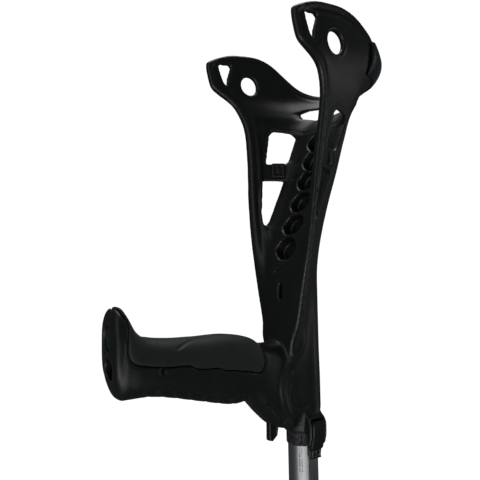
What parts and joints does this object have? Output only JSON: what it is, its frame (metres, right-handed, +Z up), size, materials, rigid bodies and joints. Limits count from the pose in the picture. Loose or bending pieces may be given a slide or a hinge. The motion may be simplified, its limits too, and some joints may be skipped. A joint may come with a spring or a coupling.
{
  "type": "forearm crutch",
  "caption": "Forearm crutch with a moulded open cuff, ribbed trough and padded handle on a drilled aluminium leg with a side lever lock and rubber foot.",
  "frame": {"origin": "centre of the ferrule's foot, on the ground and on the leg's axis", "axes": "+Z up the leg, the handle points along -X, the height lever is on the -Y side"},
  "size_m": [0.2161, 0.1149, 1.072],
  "materials": {
    "moulded_black": "fine spark-eroded texture, semi-matt",
    "soft_grip": "soft matt thermoplastic elastomer",
    "insert": "polished",
    "reflector": "smoked prismatic reflector",
    "anodised": "satin clear anodised",
    "bush": "moulded",
    "steel": "zinc plated",
    "rubber": "moulded, matt"
  },
  "bodies": {
    "leg": {"leg_tube": "anodised", "tube_cap": "bush", "ferrule": "rubber", "ferrule_washer": "steel"},
    "upper": {"upper_frame": "moulded_black", "grip_pad": "soft_grip", "grip_pin": "steel", "front_reflector": "reflector", "rear_reflector": "reflector", "side_insert_left": "insert", "side_insert_right": "insert", "pairing_hook": "moulded_black", "mouth_bush": "bush", "lever_pin": "steel", "lever_spring": "steel"},
    "lever": {"adjuster_lever": "moulded_black", "locking_peg": "steel"}
  },
  "joints": [
    {"name": "height_adjust", "type": "slide", "parent": "leg", "child": "upper", "axis": [0, 0, 1], "range_m": [-0.05, 0.025], "deforming": ["locking_peg"]},
    {"name": "lever_open", "type": "hinge", "parent": "upper", "child": "lever", "pos_m": [0, -0.0163, 0.78], "axis": [-1, 0, 0], "range_deg": [0, 24], "stiffness_Nm_per_rad": 0.05, "springref_deg": -11.46}
  ]
}
